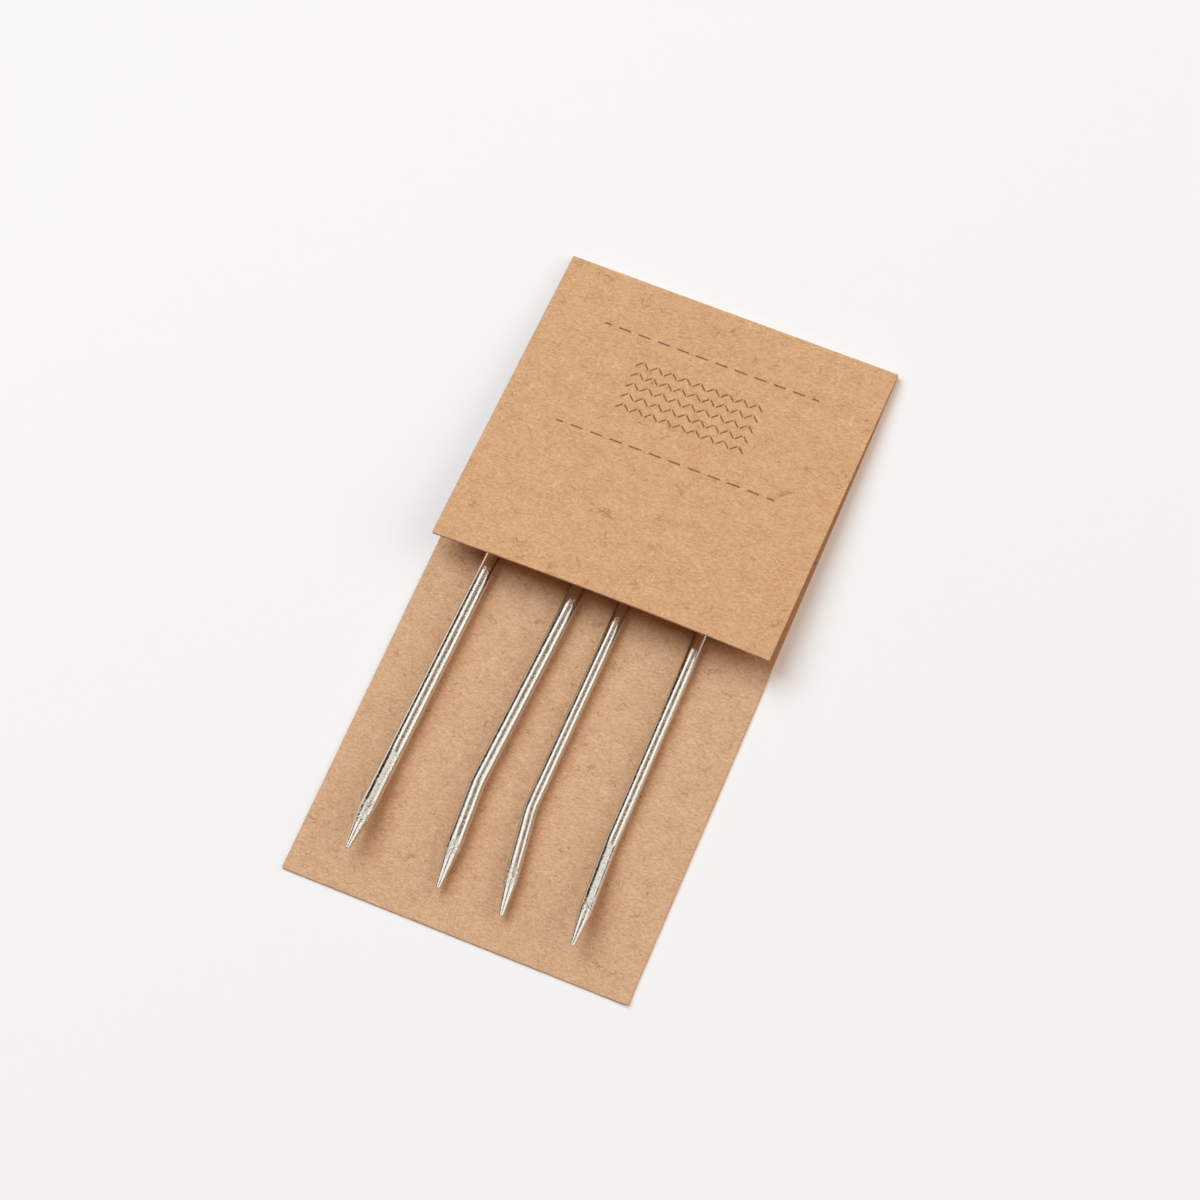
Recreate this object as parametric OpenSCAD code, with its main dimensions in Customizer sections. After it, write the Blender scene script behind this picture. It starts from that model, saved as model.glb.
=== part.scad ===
// Carded set of bent-tip tapestry needles: four nickel-plated yarn needles
// lie on a folded card. A paper band glued to the card holds their shafts,
// and the card's front flap folds down over the band and the needle eyes.
// Millimetres. +Z up, +Y towards the fold, underside of the card at z = 0,
// origin at the middle of the closed card's outline.

/* [Card] */
// Width of the card, and so the length of its fold
card_w = 50.8; // [47:0.1:70]
// Length of the back panel, from its free edge to the outside of the fold
panel_len = 102.7; // [96:0.1:140]
// Length of the front flap, from its free edge to the outside of the fold
flap_len = 51.0; // [44:0.1:56]
// Thickness of the card
card_t = 0.4; // [0.3:0.05:0.6]
// Outside radius of the fold
fold_r = 0.7; // [0.65:0.05:1.2]
// Angle at which the crease holds the flap off the back panel
flap_open = 5.3; // [4.5:0.05:12]
// Sideways run of the flap's free edge, from a crease that is not quite square
flap_skew = 0.3; // [0:0.05:0.6]
// Radius of the card's cut corners
corner_r = 0.3; // [0.1:0.05:2]
// Angle of the score that is pressed into the inside of the crease
crease_wedge = 5; // [3:0.5:12]

/* [Larger needles] */
// Diameter of the larger needles' shafts
large_d = 2.34; // [2:0.01:2.6]
// Length of the larger needles along the axis
large_len = 70; // [66:0.5:74]
// Length of the cone at the larger needles' tips
large_taper = 6.2; // [4:0.1:9]
// Width of the larger needles' eyes
large_eye_w = 3.2; // [2.8:0.05:3.6]
// Length of the flattened end that holds a larger eye
large_eye_len = 13.5; // [11:0.1:14]

/* [Smaller needles] */
// Diameter of the smaller needles' shafts
small_d = 2.03; // [1.8:0.01:2.3]
// Length of the smaller needles along the axis
small_len = 66; // [64:0.5:72]
// Length of the cone at the smaller needles' tips
small_taper = 5.2; // [4:0.1:8]
// Width of the smaller needles' eyes
small_eye_w = 2.8; // [2.5:0.05:3.2]
// Length of the flattened end that holds a smaller eye
small_eye_len = 12; // [10:0.1:13]

/* [Tips and eyes] */
// Diameter of the blunt nose
nose_d = 0.75; // [0.5:0.05:1]
// Length of the bent stretch, from the bend to the nose
tip_len = 16.3; // [13:0.1:19]
// Radius of the bend along the axis
bend_r = 12; // [8:0.5:20]
// Thickness of the flattened eye
eye_t = 1.3; // [1:0.05:1.6]
// Width of the slot in a larger eye
large_slot_w = 1.3; // [0.9:0.05:1.6]
// Width of the slot in a smaller eye
small_slot_w = 1.15; // [0.8:0.05:1.4]
// Metal left between the slot and the end of the head
eye_rim = 1.1; // [0.8:0.05:1.6]
// Part of the flattened end over which the round shaft turns flat
neck_share = 0.3; // [0.2:0.01:0.4]
// Depth of the thread groove that leads from the slot up the neck
groove_depth = 0.18; // [0.1:0.01:0.3]
// Length of the thread groove on the neck
groove_len = 2.4; // [1:0.1:3]

/* [Band] */
// Distance from the card's free edge to the near edge of the paper band
band_y = 53.9; // [53.5:0.1:55]
// Width of the paper band along the needles
band_w = 4.5; // [3:0.1:5]
// Thickness of the band's paper
band_t = 0.25; // [0.15:0.05:0.35]
// Bare card left beyond each end of the band
band_margin = 2.6; // [1:0.1:4]
// Angle at which the band's paper slopes down beside a needle
band_slope = 66; // [62:1:75]
// Radius at the foot of each slope, on the paper's upper face
band_foot_r = 0.35; // [0.2:0.05:0.5]
// Room between a shaft and the band over it
band_gap = 0.12; // [0.08:0.01:0.2]
// Room between a passing eye and the band's slopes
pass_gap = 0.18; // [0.15:0.01:0.3]

/* [Hidden] */

kraft = "tan";
kraft_inside = "burlywood";
band_paper = "peru";
nickel = "silver";

// Each needle's place, from left to right with the tips towards the viewer.
// x_at and y_at give the bend, from the card's centre line and free edge.
// heading turns the shaft, towards +X at the tip. turn is the bend's angle,
// and roll leans the bend from upright, 0, to flat on the card, 90.
x_at = [-17.75, -5.55, 2.6, 14.7];
y_at = [20.95, 21.1, 20.6, 19.85];
heading = [-1.3, -2.6, -0.35, 0.4];
turn = [7.5, 6.7, 9.1, 8.7];
roll = [11, 83, 82, 22];
is_large = [true, true, false, false];

// Gap that keeps a round shaft clear of the card that it lies on
lie_gap = 0.05;
round_fn = 64;
// Steps along each drawn curve: the band's arcs, the noses, the eyes' flare
arch_steps = 8;
nose_steps = 8;
flare_steps = 10;
// Overlap of a band arch with the flat stretch beside it
arch_lap = 0.2;
// A bent wire swells a little, and its straight ends run this far into it
bend_swell = 0.005;
bend_lap = 0.2;

// Where the fold begins, and the inside radius of the fold
fold_y = panel_len - fold_r;
fold_in = fold_r - card_t;

function shaft_d(i) = is_large[i] ? large_d : small_d;
function full_len(i) = is_large[i] ? large_len : small_len;
function taper_len(i) = is_large[i] ? large_taper : small_taper;
function eye_w(i) = is_large[i] ? large_eye_w : small_eye_w;
function eye_len(i) = is_large[i] ? large_eye_len : small_eye_len;
function slot_w(i) = is_large[i] ? large_slot_w : small_slot_w;
function axis_z(i) = card_t + lie_gap + shaft_d(i) / 2;

// Length of straight shaft between the bend point and the eye
function shaft_len(i) = full_len(i) - tip_len - eye_len(i);

// Moves a drawing from the card's free edge at y = 0 to the part's frame
module on_card() {
    translate([0, -panel_len / 2, 0]) children();
}

// Flat panel with two cut corners at y = 0, plus its run-out run at y = 0
module panel_outline(len, run = 0) {
    difference() {
        polygon([
            [-card_w / 2 - run, 0],
            [card_w / 2 - run, 0],
            [card_w / 2, len],
            [-card_w / 2, len]
        ]);
        for (side = [0, 1])
            translate([(side - 0.5) * card_w - run, 0])
                mirror([side, 0])
                    corner_sliver();
    }
}

// The sliver that a rounded corner takes off a square one
module corner_sliver() {
    difference() {
        square(corner_r);
        translate([corner_r, corner_r])
            circle(r = corner_r, $fn = round_fn);
    }
}

// Half of the fold: a quarter turn that starts level with the fold's middle
module fold_arc() {
    rotate([90, 0, 90])
        linear_extrude(card_w, center = true)
            intersection() {
                difference() {
                    circle(r = fold_r, $fn = round_fn);
                    circle(r = fold_in, $fn = round_fn);
                }
                square(2 * fold_r);
            }
}

// Back panel: the long half of the folded sheet, with its half of the fold
module back_panel() {
    color(kraft_inside)
        on_card() {
            linear_extrude(card_t)
                panel_outline(fold_y);
            translate([0, fold_y, fold_r])
                mirror([0, 0, 1])
                    fold_arc();
        }
}

// Front flap: the short half of the same sheet, lifted by the crease
module front_flap() {
    straight = flap_len - fold_r;
    color(kraft)
        on_card()
            translate([0, fold_y, fold_r])
                difference() {
                    rotate([-flap_open, 0, 0]) {
                        fold_arc();
                        translate([0, -straight, fold_in])
                            linear_extrude(card_t)
                                panel_outline(straight, flap_skew);
                    }
                    crease_score();
                }
}

// The crease: a cut through the fold from its outermost line, which is the
// line that the flap hinges on, leaning open towards the inside
module crease_score() {
    lean = 2 * fold_r * tan(crease_wedge);
    rotate([90, 0, 90])
        linear_extrude(2 * card_w, center = true)
            polygon([
                [3 * fold_r, -lean],
                [0, lean / 2],
                [0, -3 * fold_r],
                [3 * fold_r, -3 * fold_r]
            ]);
}

// Paper band: one strip, draped over each shaft and glued down between them
module needle_band() {
    color(band_paper)
        on_card()
            for (i = [0 : 3]) {
                band_arch(i);
                band_land(i);
                if (i == 0)
                    band_land(-1);
            }
}

// A tunnel's flat crown is this far either side of its middle, so that the
// eye, wider than the shaft, also passes
function crown_r(i) = shaft_d(i) / 2 + band_gap;
function crown_half(i) = max(0.2, eye_w(i) / 2
    + (eye_t / 2 * cos(band_slope) + pass_gap - crown_r(i)) / sin(band_slope));
function foot_r() = band_foot_r + band_t;
function slope_len(i) = (axis_z(i) + crown_r(i) * cos(band_slope)
    - card_t - foot_r() * (1 - cos(band_slope))) / sin(band_slope);
function foot_x(i) = crown_half(i) + (crown_r(i) + foot_r()) * sin(band_slope)
    + slope_len(i) * cos(band_slope);

// A needle's x where it passes under the middle of the band
function band_mid() = band_y + band_w / 2;
function cross_x(i) = x_at[i] - (band_mid() - y_at[i]) * tan(heading[i]);

// Flat stretch of band, glued to the card, to the right of needle i
module band_land(i) {
    end_x = card_w / 2 - band_margin;
    left = i < 0 ? -end_x : cross_x(i) + foot_x(i);
    right = i == -1 ? cross_x(0) - foot_x(0)
        : i == 3 ? end_x : cross_x(i + 1) - foot_x(i + 1);
    translate([left, band_y, card_t])
        cube([right - left, band_w, band_t]);
}

// Arch over needle i, turned to run square with the shaft
module band_arch(i) {
    reach = foot_x(i) + arch_lap;
    intersection() {
        translate([cross_x(i), band_mid(), 0])
            rotate([90, 0, heading[i]])
                linear_extrude(2 * band_w, center = true)
                    polygon(concat(
                        arch_side(i, crown_r(i), foot_r(), 0, 1),
                        arch_side(i, crown_r(i) + band_t, band_foot_r, band_t, -1)
                    ));
        translate([cross_x(i) - reach, band_y, 0])
            cube([2 * reach, band_w, 4 * large_d]);
    }
}

// One face of the arch from the left foot to the right foot, or back again:
// foot arcs of radius foot, shoulder arcs of radius shoulder
function arch_side(i, shoulder, foot, lift, way) =
    let (half = [
        for (k = [0 : arch_steps])
            let (a = 90 - band_slope * k / arch_steps)
                [crown_half(i) + shoulder * cos(a), axis_z(i) + shoulder * sin(a)],
        for (k = [0 : arch_steps])
            let (a = 270 - band_slope * (1 - k / arch_steps))
                [foot_x(i) + foot * cos(a), card_t + foot_r() + foot * sin(a)],
        [foot_x(i) + arch_lap, card_t + lift]
    ])
    concat(
        [for (k = [len(half) - 1 : -1 : 0]) [-way * half[k][0], half[k][1]]],
        [for (q = half) [way * q[0], q[1]]]
    );

// A needle in its place, drawn from its bend
module needle(i) {
    color(nickel)
        on_card()
            translate([x_at[i], y_at[i], axis_z(i)])
                rotate([0, 0, heading[i]]) {
                    shaft_and_eye(i);
                    rotate([0, roll[i], 0]) {
                        bend(i);
                        tip(i);
                    }
                }
}

// Distance from the bend point at which the bend's arc starts and ends
function tangent_len(i) = bend_r * tan(turn[i] / 2);

// Bend, from the shaft to a tip that rises from -Y
module bend(i) {
    translate([0, tangent_len(i), bend_r])
        rotate([0, 90, 180])
            rotate_extrude(angle = turn[i], $fn = 4 * round_fn)
                translate([bend_r, 0])
                    circle(r = shaft_d(i) / 2 + bend_swell, $fn = round_fn);
}

// Bent stretch: straight, then a cone that ends in a round nose
module tip(i) {
    r = shaft_d(i) / 2;
    nose_r = nose_d / 2;
    start = tangent_len(i) - bend_lap;
    slant = atan((r - nose_r) / taper_len(i));
    rotate([90 - turn[i], 0, 0])
        rotate_extrude($fn = round_fn)
            polygon([
                [0, start],
                [r, start],
                [r, tip_len - taper_len(i)],
                for (k = [0 : nose_steps])
                    let (a = slant + (90 - slant) * k / nose_steps)
                        [nose_r * cos(a), tip_len - nose_r + nose_r * sin(a)]
            ]);
}

// Smooth step from 0 to 1
function ease(u) = u * u * (3 - 2 * u);

// Length over which the round shaft turns into the flat eye
function neck_len(i) = neck_share * eye_len(i);

// Shaft and eye, towards +Y: a round wire that flares to the eye's width and
// ends in a round head, pressed flat between two dies and pierced
module shaft_and_eye(i) {
    r = shaft_d(i) / 2;
    head_r = eye_w(i) / 2;
    start = tangent_len(i) - bend_lap;
    end = shaft_len(i) + eye_len(i);
    difference() {
        rotate([-90, 0, 0])
            rotate_extrude($fn = round_fn)
                polygon([
                    [0, start],
                    [r, start],
                    for (k = [0 : flare_steps])
                        let (u = k / flare_steps)
                            [r + (head_r - r) * ease(u), shaft_len(i) + neck_len(i) * u],
                    for (k = [0 : flare_steps])
                        let (a = 90 * k / flare_steps)
                            [head_r * cos(a), end - head_r + head_r * sin(a)]
                ]);
        for (face = [0, 1])
            mirror([0, 0, face]) {
                die(i);
                thread_groove(i);
            }
        eye_slot(i);
    }
}

// What one die presses away: the flat of the eye, with a long round run-out
// into the shaft
module die(i) {
    depth = (shaft_d(i) - eye_t) / 2;
    run_out = 0.9 * neck_len(i);
    die_r = (run_out * run_out + depth * depth) / (2 * depth);
    flat_start = shaft_len(i) + neck_len(i);
    translate([-eye_w(i), flat_start, eye_t / 2])
        cube([2 * eye_w(i), 2 * eye_len(i), eye_w(i)]);
    translate([0, flat_start, eye_t / 2 + die_r])
        rotate([0, 90, 0])
            cylinder(r = die_r, h = 2 * eye_w(i), center = true, $fn = 4 * round_fn);
}

// Middle of the round end of the slot that is nearer the shaft
function slot_start(i) = shaft_len(i) + neck_len(i) + slot_w(i) / 2;

// Slot with round ends
module eye_slot(i) {
    far = shaft_len(i) + eye_len(i) - eye_rim - slot_w(i) / 2;
    for (y = [slot_start(i), far])
        translate([0, y, 0])
            cylinder(d = slot_w(i), h = 3 * eye_t, center = true, $fn = round_fn);
    translate([-slot_w(i) / 2, slot_start(i), -1.5 * eye_t])
        cube([slot_w(i), far - slot_start(i), 3 * eye_t]);
}

// Shallow groove in which the thread lies, from the slot up the neck
module thread_groove(i) {
    rise = atan((shaft_d(i) / 2 - eye_t / 2 + groove_depth) / groove_len);
    translate([0, slot_start(i), (eye_t + slot_w(i)) / 2 - groove_depth])
        rotate([90 - rise, 0, 0])
            cylinder(d = slot_w(i), h = 2 * groove_len, $fn = round_fn);
}

module outer_left_needle() needle(0);
module inner_left_needle() needle(1);
module inner_right_needle() needle(2);
module outer_right_needle() needle(3);

back_panel();
front_flap();
needle_band();
outer_left_needle();
inner_left_needle();
inner_right_needle();
outer_right_needle();
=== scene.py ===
import math

import bmesh
import bpy
import numpy as np
from mathutils import Matrix, Vector


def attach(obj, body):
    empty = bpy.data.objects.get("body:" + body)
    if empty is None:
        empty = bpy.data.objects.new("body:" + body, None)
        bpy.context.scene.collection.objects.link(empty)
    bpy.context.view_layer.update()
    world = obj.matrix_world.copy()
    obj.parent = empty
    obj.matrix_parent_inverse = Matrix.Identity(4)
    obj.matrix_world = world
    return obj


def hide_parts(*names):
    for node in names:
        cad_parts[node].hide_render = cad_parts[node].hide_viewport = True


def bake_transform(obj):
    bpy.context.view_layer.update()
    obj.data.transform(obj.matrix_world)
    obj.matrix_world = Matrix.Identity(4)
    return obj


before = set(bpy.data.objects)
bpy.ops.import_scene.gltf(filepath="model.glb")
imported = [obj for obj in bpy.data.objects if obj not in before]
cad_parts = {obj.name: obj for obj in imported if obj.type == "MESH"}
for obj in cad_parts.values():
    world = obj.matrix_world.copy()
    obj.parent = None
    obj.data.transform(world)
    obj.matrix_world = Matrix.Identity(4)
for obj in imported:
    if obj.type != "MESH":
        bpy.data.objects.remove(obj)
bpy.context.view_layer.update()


# The card is one sheet of kraft board, cut square with a blade, scored across
# on the inside and folded over by hand. The crease is springy, so the front
# stands open, and the needles under it push its free edge into a low arch.

MM = 0.001
CARD_W = 50.8
PANEL_LEN = 102.7
FLAP_LEN = 51.0
BOARD_T = 0.4
FOLD_R = 0.7
FLAP_OPEN = math.radians(5.3)
FLAP_SKEW = 0.3
FLAP_DROOP = 0.75        # how far the flap's corners hang below its middle
CORNER_R = 0.3
CURL_LIFT = 0.3          # the lifted corner, at the right of the free edge
CURL_REACH = 3.2
BLADE_R = 0.07           # rounding that the blade leaves on a cut edge
CUT_REACH = 1.6          # from a cut edge to the first evenly spread row
FOLD_REACH = 0.4         # from the fold's arc to the next row

FOLD_Y = PANEL_LEN / 2 - FOLD_R
PANEL_RUN = PANEL_LEN - FOLD_R
FLAP_RUN = FLAP_LEN - FOLD_R
MID_R = FOLD_R - BOARD_T / 2
FOLD_TURN = math.pi - FLAP_OPEN
FOLD_RUN = MID_R * FOLD_TURN
SHEET_RUN = PANEL_RUN + FOLD_RUN + FLAP_RUN

# Distances of the close rows from a cut edge. The first four round the cut.
CUT_ROWS = np.append(np.array([0, 0.25, 0.6, 1]) * BLADE_R, [0.14, 0.22, 0.3, 0.5, 0.9])


def along_sheet(s):
    """Middle of the board at distance s from the panel's free edge, in the
    side view: a straight, an arc about the fold's centre, a straight. Also
    the direction that faces out of the fold."""
    turn = np.clip((s - PANEL_RUN) / MID_R, 0, FOLD_TURN)
    before = np.minimum(s - PANEL_RUN, 0)
    beyond = np.maximum(s - PANEL_RUN - FOLD_RUN, 0)
    y = FOLD_Y + before + MID_R * np.sin(turn) + beyond * np.cos(turn)
    z = FOLD_R - MID_R * np.cos(turn) + beyond * np.sin(turn)
    return y, z, np.sin(turn), -np.cos(turn)


def with_cut_ends(start, end, count):
    """Stations from start to end: the close rows beside both cut ends, and
    count of them evenly spread between."""
    middle = np.linspace(start + CUT_REACH, end - CUT_REACH, count)
    return np.concatenate([start + CUT_ROWS, middle, (end - CUT_ROWS)[::-1]])


def round_corners(across, along, half_width, start, end, radius):
    """Draws each point of a corner's square that lies past the quarter circle
    back onto it."""
    cx = np.clip(across, radius - half_width, half_width - radius)
    cy = np.clip(along, start + radius, end - radius)
    dx, dy = across - cx, along - cy
    past = np.maximum(np.hypot(dx, dy) / radius, 1)
    corner = (dx != 0) & (dy != 0)
    past = np.where(corner, past, 1)
    return cx + dx / past, cy + dy / past


def board_mesh(name, middle, normal, thick, from_edge, tag):
    """Closed board about a grid of middle points. Its faces are half a
    thickness either side along normal, less the quarter-circle rounding of
    the cut within a blade's radius of the edge. The attribute "sheet" keeps
    tag, each point's place on the flat sheet, and its height over the middle,
    so patterns follow the sheet."""
    rows, columns = middle.shape[:2]
    inset = np.clip(BLADE_R - from_edge, 0, BLADE_R)
    half = thick / 2 - BLADE_R + np.sqrt(BLADE_R ** 2 - inset ** 2)
    outside = middle + normal * half[..., None]
    inside = middle - normal * half[..., None]
    points = np.concatenate([outside.reshape(-1, 3), inside.reshape(-1, 3)])

    index = np.arange(rows * columns).reshape(rows, columns)
    a, b = index[:-1, :-1].ravel(), index[1:, :-1].ravel()
    c, d = index[1:, 1:].ravel(), index[:-1, 1:].ravel()
    far = rows * columns
    ring = np.concatenate([
        index[0, :-1], index[:-1, -1], index[-1, :0:-1], index[:0:-1, 0]])
    after = np.roll(ring, -1)
    faces = np.concatenate([
        np.stack([a, b, c, d], 1),
        np.stack([a, d, c, b], 1) + far,
        np.stack([ring, after, after + far, ring + far], 1),
    ])
    mesh = bpy.data.meshes.new(name)
    mesh.from_pydata((points * MM).tolist(), [], faces.tolist())
    mesh.polygons.foreach_set("use_smooth", np.ones(len(faces), bool))
    place = np.concatenate([np.dstack([tag, half]).reshape(-1, 3),
                            np.dstack([tag, -half]).reshape(-1, 3)])
    sheet = mesh.attributes.new("sheet", "FLOAT_VECTOR", "POINT")
    sheet.data.foreach_set("vector", (place * MM).astype(np.float32).ravel())
    mesh.update()
    piece = bpy.data.objects.new(name, mesh)
    bpy.context.scene.collection.objects.link(piece)
    return piece


s_rows = np.concatenate([
    CUT_ROWS,
    np.linspace(CUT_REACH, PANEL_RUN - FOLD_REACH, 64),
    PANEL_RUN + FOLD_RUN * np.linspace(0, 1, 19),
    np.linspace(PANEL_RUN + FOLD_RUN + FOLD_REACH, SHEET_RUN - CUT_REACH, 36),
    (SHEET_RUN - CUT_ROWS)[::-1],
])
x_rows = with_cut_ends(-CARD_W / 2, CARD_W / 2, 40)
run, across = np.meshgrid(s_rows, x_rows, indexing="ij")
from_edge = np.minimum(np.minimum(run, SHEET_RUN - run), CARD_W / 2 - abs(across))
flat_x, flat_s = round_corners(across, run, CARD_W / 2, 0, SHEET_RUN, CORNER_R)
y, z, out_y, out_z = along_sheet(flat_s)
share = np.clip((flat_s - PANEL_RUN - FOLD_RUN) / FLAP_RUN, 0, 1)
droop = FLAP_DROOP * (2 * flat_x / CARD_W) ** 2 * share ** 1.5
to_corner = np.hypot(flat_x - CARD_W / 2, flat_s)
curl = CURL_LIFT * np.clip(1 - to_corner / CURL_REACH, 0, 1) ** 2
middle = np.dstack([
    flat_x - FLAP_SKEW * share,
    y - out_y * droop,
    z - out_z * droop + curl * (flat_s < PANEL_RUN),
])
normal = np.dstack([np.zeros_like(y), out_y, out_z])
kraft_card = board_mesh("kraft_card", middle, normal, BOARD_T, from_edge,
                        np.dstack([flat_x, flat_s]))


def linear(code):
    """The linear colour of an sRGB hex code: each channel's curve is undone."""
    value = np.array([int(code[k:k + 2], 16) for k in (1, 3, 5)]) / 255
    value = np.where(value > 0.04045, ((value + 0.055) / 1.055) ** 2.4, value / 12.92)
    return (*value, 1.0)


def add(tree, kind, inputs, **settings):
    """Adds a node. settings are the node's own, and inputs gives its sockets
    either a value or the output that feeds them."""
    node = tree.nodes.new(kind)
    for name, value in settings.items():
        setattr(node, name, value)
    for name, value in inputs.items():
        if isinstance(value, bpy.types.NodeSocket):
            tree.links.new(value, node.inputs[name])
        else:
            node.inputs[name].default_value = value
    return node


def new_material(name):
    """An empty node material and its tree."""
    material = bpy.data.materials.new(name)
    material.use_nodes = True
    material.node_tree.nodes.clear()
    return material, material.node_tree


# Uncoated kraft board: softwood pulp, unbleached, pressed on a paper machine.
# The eye sees a tan with clouds of a few millimetres, a fine grain, and a few
# single fibres and bark flecks, all without gloss. The outer face is warmer.

kraft, tree = new_material("uncoated_kraft_board")
sheet = add(tree, "ShaderNodeAttribute", {}, attribute_name="sheet").outputs["Vector"]
parts = add(tree, "ShaderNodeSeparateXYZ", {"Vector": sheet}).outputs
outer = add(tree, "ShaderNodeMapRange", {
    "Value": parts["Z"], "From Min": -0.5 * BOARD_T * MM,
    "From Max": 0.5 * BOARD_T * MM}).outputs["Result"]
clouds = add(tree, "ShaderNodeTexNoise", {        # clouds 3 mm across
    "Vector": sheet, "Scale": 1 / (3.0 * MM), "Detail": 4.0, "Roughness": 0.6}).outputs["Fac"]
grain = add(tree, "ShaderNodeTexNoise", {         # knots of fibres 0.3 mm across
    "Vector": sheet, "Scale": 1 / (0.3 * MM), "Detail": 3.0, "Roughness": 0.8}).outputs["Fac"]
laid = add(tree, "ShaderNodeMapping", {           # fibres 0.15 mm wide, 0.7 mm long
    "Vector": sheet, "Rotation": (0.0, 0.0, 0.2),
    "Scale": (1 / (0.7 * MM), 1 / (0.15 * MM), 1 / (0.3 * MM))}).outputs[0]
laid = add(tree, "ShaderNodeTexNoise", {
    "Vector": laid, "Scale": 1.0, "Detail": 2.0, "Distortion": 0.6}).outputs["Fac"]
hair = add(tree, "ShaderNodeTexNoise", {          # fibres that wander over 2 mm
    "Vector": sheet, "Scale": 1 / (1.9 * MM), "Detail": 1.5, "Distortion": 0.8}).outputs["Fac"]
hair = add(tree, "ShaderNodeMath", {0: hair, 1: 0.5}, operation="SUBTRACT").outputs[0]
hair = add(tree, "ShaderNodeMath", {0: hair}, operation="ABSOLUTE").outputs[0]
hair = add(tree, "ShaderNodeMapRange", {
    "Value": hair, "From Min": 0.006, "From Max": 0.03, "To Min": 1.0, "To Max": 0.0,
}).outputs["Result"]
where = add(tree, "ShaderNodeTexNoise", {
    "Vector": sheet, "Scale": 1 / (2.3 * MM), "Detail": 0.0}).outputs["Fac"]
dark_place = add(tree, "ShaderNodeMapRange", {
    "Value": where, "From Min": 0.62, "From Max": 0.7}).outputs["Result"]
pale_place = add(tree, "ShaderNodeMapRange", {
    "Value": where, "From Min": 0.4, "From Max": 0.31}).outputs["Result"]
dark_hair = add(tree, "ShaderNodeMath", {0: hair, 1: dark_place},
                operation="MULTIPLY").outputs[0]
pale_hair = add(tree, "ShaderNodeMath", {0: hair, 1: pale_place},
                operation="MULTIPLY").outputs[0]
cells = add(tree, "ShaderNodeTexVoronoi", {       # flecks of 0.3 mm, 3 mm apart or more
    "Vector": sheet, "Scale": 1 / (3.0 * MM), "Randomness": 1.0})
fleck = add(tree, "ShaderNodeMapRange", {
    "Value": cells.outputs["Distance"], "From Min": 0.03, "From Max": 0.055,
    "To Min": 1.0, "To Max": 0.0}).outputs["Result"]
chosen = add(tree, "ShaderNodeSeparateColor", {"Color": cells.outputs["Color"]}).outputs["Red"]
chosen = add(tree, "ShaderNodeMath", {0: chosen, 1: 0.7}, operation="GREATER_THAN").outputs[0]
fleck = add(tree, "ShaderNodeMath", {0: fleck, 1: chosen}, operation="MULTIPLY").outputs[0]

tone = -0.175                                     # clouds add their share about zero
for pattern, weight in ((clouds, 0.35), (grain, 1.15), (laid, 1.05)):
    tone = add(tree, "ShaderNodeMath", {0: pattern, 1: weight, 2: tone},
               operation="MULTIPLY_ADD").outputs[0]
tone = add(tree, "ShaderNodeMapRange", {
    "Value": tone, "From Min": 0.6, "From Max": 1.6}).outputs["Result"]
pale = add(tree, "ShaderNodeMix", {
    0: outer, 6: linear("#E7C3A0"), 7: linear("#E6BE96")}, data_type="RGBA").outputs[2]
deep = add(tree, "ShaderNodeMix", {
    0: outer, 6: linear("#B8845C"), 7: linear("#B88254")}, data_type="RGBA").outputs[2]
colour = add(tree, "ShaderNodeMix", {0: tone, 6: deep, 7: pale}, data_type="RGBA").outputs[2]
for mark, strength, code in ((dark_hair, 0.42, "#8A5C3C"), (pale_hair, 0.28, "#F0D2B0"),
                             (fleck, 0.6, "#6E4428")):
    mark_share = add(tree, "ShaderNodeMath", {0: mark, 1: strength},
                     operation="MULTIPLY").outputs[0]
    colour = add(tree, "ShaderNodeMix", {
        0: mark_share, 6: colour, 7: linear(code)}, data_type="RGBA").outputs[2]

# One dark brown ink is printed on the flap: a swatch of knit stitches, in rows
# of small V's, between two rows of running stitches.

STITCH_W = 2.2
STITCH_H = 1.9
STITCH_RISE = 1.15                        # of a V's leg, in stitch heights per width
LEG_MIDDLE, LEG_REACH = 0.25, 0.2         # where a leg is across, in stitch widths
LEG_SOLID, LEG_CLEAR = 0.07, 0.11         # off its middle, in stitch heights
SWATCH_S = PANEL_RUN + FOLD_RUN + 17.5    # the swatch's middle on the sheet
SWATCH_HALF_W = 9.9
SWATCH_ROWS = 5
DASH_STEP = 3.0
DASH_GAP = 0.19                           # half of the gap, in steps
DASH_OFF = 9.0                            # from the swatch's middle to each row
DASH_HALF_W = 16.6
LINE_W = 0.27
column = add(tree, "ShaderNodeMath", {0: parts["X"], 1: 1 / (STITCH_W * MM), 2: 0.5},
             operation="MULTIPLY_ADD").outputs[0]
column = add(tree, "ShaderNodeMath", {0: column, 1: 0.5}, operation="PINGPONG").outputs[0]
across_swatch = add(tree, "ShaderNodeMath", {0: parts["Y"], 1: SWATCH_S * MM},
                    operation="SUBTRACT").outputs[0]
level = add(tree, "ShaderNodeMath", {0: across_swatch, 1: 1 / (STITCH_H * MM)},
            operation="MULTIPLY").outputs[0]
level = add(tree, "ShaderNodeMath", {0: column, 1: STITCH_RISE, 2: level},
            operation="MULTIPLY_ADD").outputs[0]
rows_off = add(tree, "ShaderNodeMath", {0: level}, operation="ABSOLUTE").outputs[0]
inside_h = add(tree, "ShaderNodeMath", {0: rows_off, 1: SWATCH_ROWS / 2},
               operation="LESS_THAN").outputs[0]
level = add(tree, "ShaderNodeMath", {0: level, 1: 0.5}, operation="PINGPONG").outputs[0]
stitch = add(tree, "ShaderNodeMapRange", {
    "Value": level, "From Min": LEG_SOLID, "From Max": LEG_CLEAR, "To Min": 1.0,
    "To Max": 0.0}).outputs["Result"]
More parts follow.
